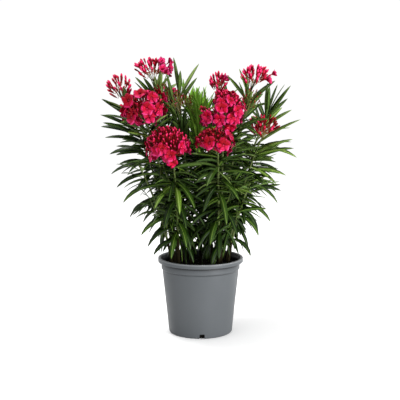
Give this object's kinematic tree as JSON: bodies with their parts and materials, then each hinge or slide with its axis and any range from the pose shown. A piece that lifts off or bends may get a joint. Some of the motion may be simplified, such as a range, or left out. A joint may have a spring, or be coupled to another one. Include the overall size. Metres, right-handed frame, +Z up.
{
  "type": "potted oleander",
  "caption": "Flowering shrub in a round nursery pot: splayed stems, long narrow leaves and rounded heads of crimson flowers.",
  "frame": {"origin": "centre of the pot's flat underside", "axes": "+Z up along the pot's axis, -Y towards the plant's front, +X to the right seen from the front"},
  "size_m": [0.6172, 0.468, 0.9049],
  "materials": {
    "pot": "satin moulded grey plastic",
    "soil": "dark moist potting soil",
    "bark": "smooth grey-brown bark, green above",
    "leaves": "leathery dark green leaves with a pale midrib",
    "flowers": "soft crimson-pink petals",
    "buds": "crimson buds on dark red stalks"
  },
  "bodies": {
    "root": {"head_front_left": "flowers", "head_front_right": "flowers", "head_left_front": "flowers", "head_left_outer": "buds", "head_left_rear": "flowers", "head_left_tall": "flowers", "head_rear_left": "buds", "head_rear_middle": "flowers", "head_rear_right": "flowers", "head_right_inner": "buds", "head_right_mid": "flowers", "head_right_outer": "buds", "head_right_rear": "buds", "head_right_tall": "flowers", "leaves_front_left": "leaves", "leaves_front_right": "leaves", "leaves_left_front": "leaves", "leaves_left_inner": "leaves", "leaves_left_low": "leaves", "leaves_left_outer": "leaves", "leaves_left_rear": "leaves", "leaves_left_tall": "leaves", "leaves_middle": "leaves", "leaves_rear_left": "leaves", "leaves_rear_middle": "leaves", "leaves_rear_right": "leaves", "leaves_right_inner": "leaves", "leaves_right_leafy": "leaves", "leaves_right_low": "leaves", "leaves_right_mid": "leaves", "leaves_right_outer": "leaves", "leaves_right_rear": "leaves", "leaves_right_tall": "leaves", "pot": "pot", "soil": "soil", "stem_front_left": "bark", "stem_front_right": "bark", "stem_left_front": "bark", "stem_left_inner": "bark", "stem_left_low": "bark", "stem_left_outer": "bark", "stem_left_rear": "bark", "stem_left_tall": "bark", "stem_middle": "bark", "stem_rear_left": "bark", "stem_rear_middle": "bark", "stem_rear_right": "bark", "stem_right_inner": "bark", "stem_right_leafy": "bark", "stem_right_low": "bark", "stem_right_mid": "bark", "stem_right_outer": "bark", "stem_right_rear": "bark", "stem_right_tall": "bark"}
  },
  "joints": []
}
